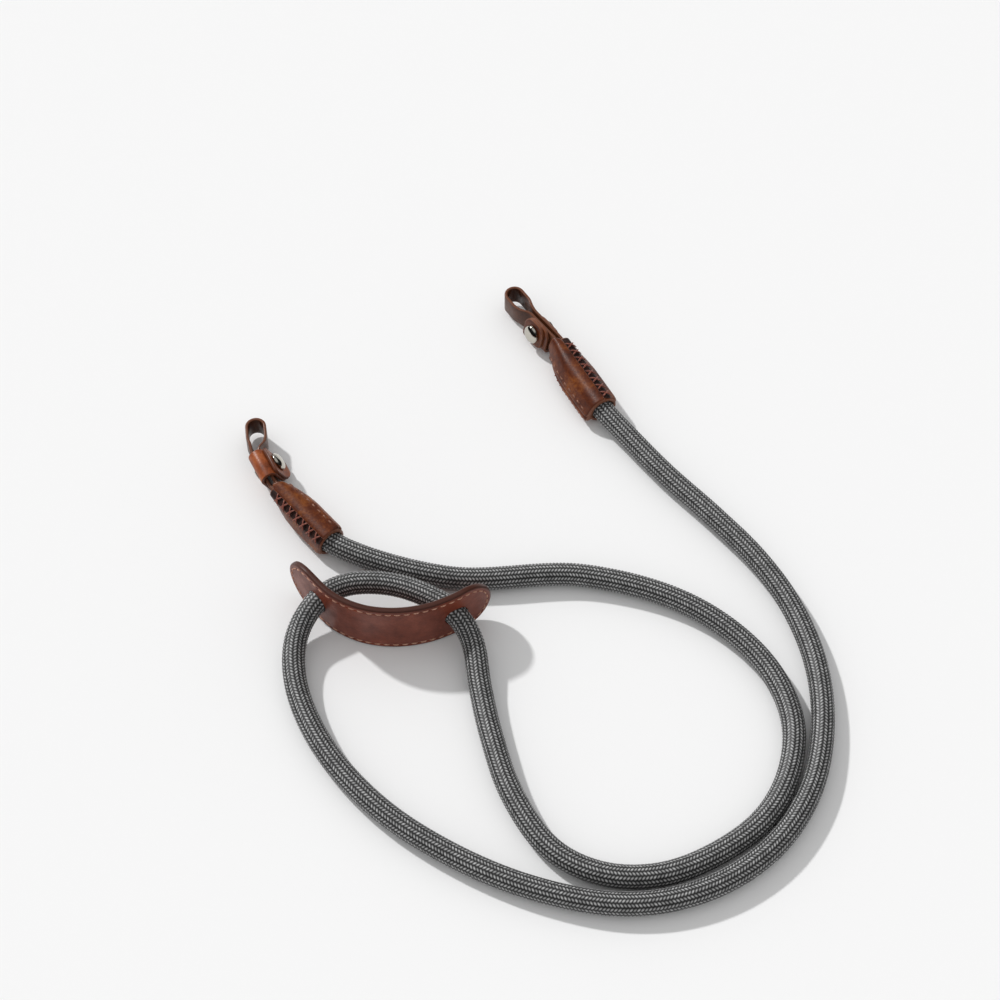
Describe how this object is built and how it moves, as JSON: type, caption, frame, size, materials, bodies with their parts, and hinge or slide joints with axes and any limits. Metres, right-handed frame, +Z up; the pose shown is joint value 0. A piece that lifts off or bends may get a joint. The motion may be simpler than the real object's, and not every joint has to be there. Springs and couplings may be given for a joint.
{
  "type": "rope neck strap for a camera",
  "caption": "Round braided rope strap laid in loose loops, threaded through a bent leather neck pad, with sewn leather sleeves and folded eyes closed by a keeper and a stud at its ends",
  "frame": {"origin": "on the surface that the strap lies on, under the middle of the box round its leather and metal pieces", "axes": "+X to the viewer's right, +Y away from the viewer, +Z up off the surface; the strap's two ends point roughly along +Y"},
  "size_m": [0.2253, 0.2797, 0.025],
  "materials": {
    "braid": "matt braid",
    "pad_leather": "satin, burnished edges",
    "sleeve_leather": "satin, pulled up lighter where it is stretched",
    "loop_leather": "satin, burnished edges",
    "nickel": "polished nickel"
  },
  "bodies": {
    "root": {"neck_pad": "pad_leather", "sleeve_left": "sleeve_leather", "loop_strap_left": "loop_leather", "keeper_left": "sleeve_leather", "stud_left": "nickel", "sleeve_right": "sleeve_leather", "loop_strap_right": "loop_leather", "keeper_right": "sleeve_leather", "stud_right": "nickel", "rope": "braid"}
  },
  "joints": []
}
